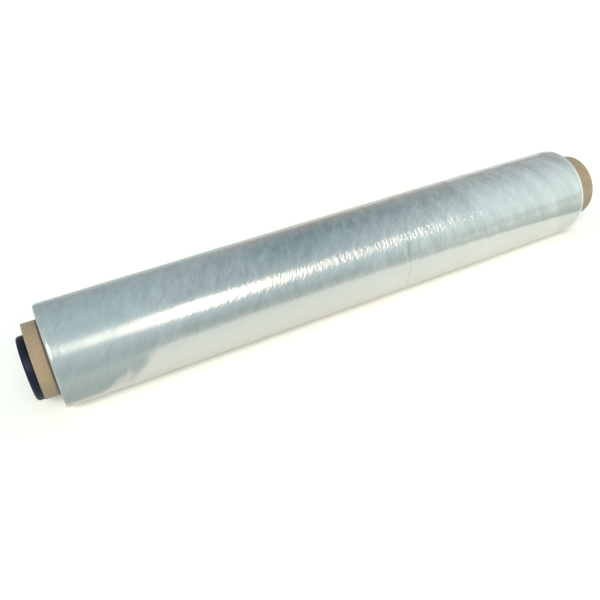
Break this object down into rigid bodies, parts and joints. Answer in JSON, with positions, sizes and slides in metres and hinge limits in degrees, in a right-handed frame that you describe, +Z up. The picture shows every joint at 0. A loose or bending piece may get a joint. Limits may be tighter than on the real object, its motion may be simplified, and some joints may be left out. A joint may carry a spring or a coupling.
{
  "type": "stretch wrap roll",
  "caption": "Clear stretch film wound on an open paper core and lying on its side, with a loose plastic plug in the core's end.",
  "frame": {"origin": "on the roll's axis, at the middle of the film's width", "axes": "+X along the roll's axis from the plugged end of the core to its open end, +Z up, so the roll lies on the flat spot at z = -0.0402 m, and +Y is away from the side that the picture shows"},
  "size_m": [0.5418, 0.0834, 0.0819],
  "materials": {
    "film": "clear stretch film, milky blue-green in the thickness of the roll, glossy",
    "kraft_core": "bare brown kraft paper",
    "plug_plastic": "dark navy moulded plastic"
  },
  "bodies": {
    "root": {"core": "kraft_core", "film_winding": "film", "core_plug": "plug_plastic"}
  },
  "joints": []
}
